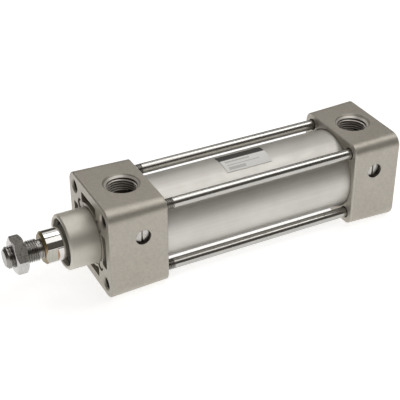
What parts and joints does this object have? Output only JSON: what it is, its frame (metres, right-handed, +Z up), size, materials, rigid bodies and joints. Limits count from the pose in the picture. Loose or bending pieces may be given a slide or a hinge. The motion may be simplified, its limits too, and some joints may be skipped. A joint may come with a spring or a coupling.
{
  "type": "pneumatic cylinder",
  "caption": "Double-acting tie-rod pneumatic cylinder: square die-cast covers, round tube, spring-free piston rod with threaded end and jam nut, air ports on top and adjustable end cushions.",
  "frame": {"origin": "on the rod's axis, in the plane of the rod cover's front mounting face", "axes": "+X along the cylinder from the rod end to the head end, +Y away from the side with the cushion needles, +Z up through the ports"},
  "size_m": [0.226, 0.054, 0.054],
  "materials": {
    "cover": "die-cast, satin warm grey metallic paint",
    "tube": "hard anodised, satin",
    "tie_rod": "rolled steel, bright plated",
    "zinc_steel": "zinc plated, dull grey",
    "rod_chrome": "hard chromed and polished",
    "needle_steel": "turned steel",
    "spring_steel": "phosphated spring steel",
    "bronze": "sintered bronze",
    "piston_alloy": "turned",
    "seal_rubber": "matt black",
    "seal_urethane": "polyurethane",
    "wear_plastic": "filled resin",
    "magnet": "plastic bonded magnet",
    "plate": "printed foil label, blank"
  },
  "bodies": {
    "barrel": {"rod_cover": "cover", "head_cover": "cover", "cylinder_tube": "tube", "front_tube_gasket": "seal_rubber", "rear_tube_gasket": "seal_rubber", "name_plate": "plate", "tie_rod_lower_near": "tie_rod", "tie_rod_upper_near": "tie_rod", "tie_rod_lower_far": "tie_rod", "tie_rod_upper_far": "tie_rod", "tie_rod_nuts": "zinc_steel", "rod_bushing": "bronze", "rod_seal": "seal_rubber", "seal_clip": "spring_steel", "front_cushion_seal": "seal_urethane", "rear_cushion_seal": "seal_urethane"},
    "piston_rings": {"piston_seal": "seal_rubber", "wear_ring": "wear_plastic"},
    "rod": {"piston_rod": "rod_chrome", "rod_end_nut": "zinc_steel", "piston": "piston_alloy", "piston_nut": "zinc_steel", "magnet_ring": "magnet", "front_cushion_ring": "piston_alloy", "rear_cushion_ring": "piston_alloy", "piston_gasket": "seal_rubber"},
    "front_needle_ring": {"front_needle_oring": "seal_rubber"},
    "front_needle": {"front_cushion_needle": "needle_steel"},
    "rear_needle_ring": {"rear_needle_oring": "seal_rubber"},
    "rear_needle": {"rear_cushion_needle": "needle_steel"}
  },
  "joints": [
    {"name": "rod_slide", "type": "slide", "parent": "barrel", "child": "piston_rings", "axis": [-1, 0, 0], "range_m": [0, 0.075]},
    {"name": "rod_turn", "type": "hinge", "parent": "piston_rings", "child": "rod", "pos_m": [0, 0, 0], "axis": [-1, 0, 0], "continuous": true},
    {"name": "front_needle_lift", "type": "slide", "parent": "barrel", "child": "front_needle_ring", "axis": [0, -1, 0], "range_m": [-0.0004, 0.0008]},
    {"name": "front_needle_turn", "type": "hinge", "parent": "front_needle_ring", "child": "front_needle", "pos_m": [0.0191, -0.025, 0.0083], "axis": [0, -1, 0], "range_deg": [-180, 360]},
    {"name": "rear_needle_lift", "type": "slide", "parent": "barrel", "child": "rear_needle_ring", "axis": [0, -1, 0], "range_m": [-0.0004, 0.0008]},
    {"name": "rear_needle_turn", "type": "hinge", "parent": "rear_needle_ring", "child": "rear_needle", "pos_m": [0.1628, -0.025, 0.0083], "axis": [0, -1, 0], "range_deg": [-180, 360]}
  ],
  "couplings": [
    {"joint": "front_needle_turn", "follows": "front_needle_lift", "rad_per_m": 7853.9},
    {"joint": "rear_needle_turn", "follows": "rear_needle_lift", "rad_per_m": 7853.9}
  ]
}
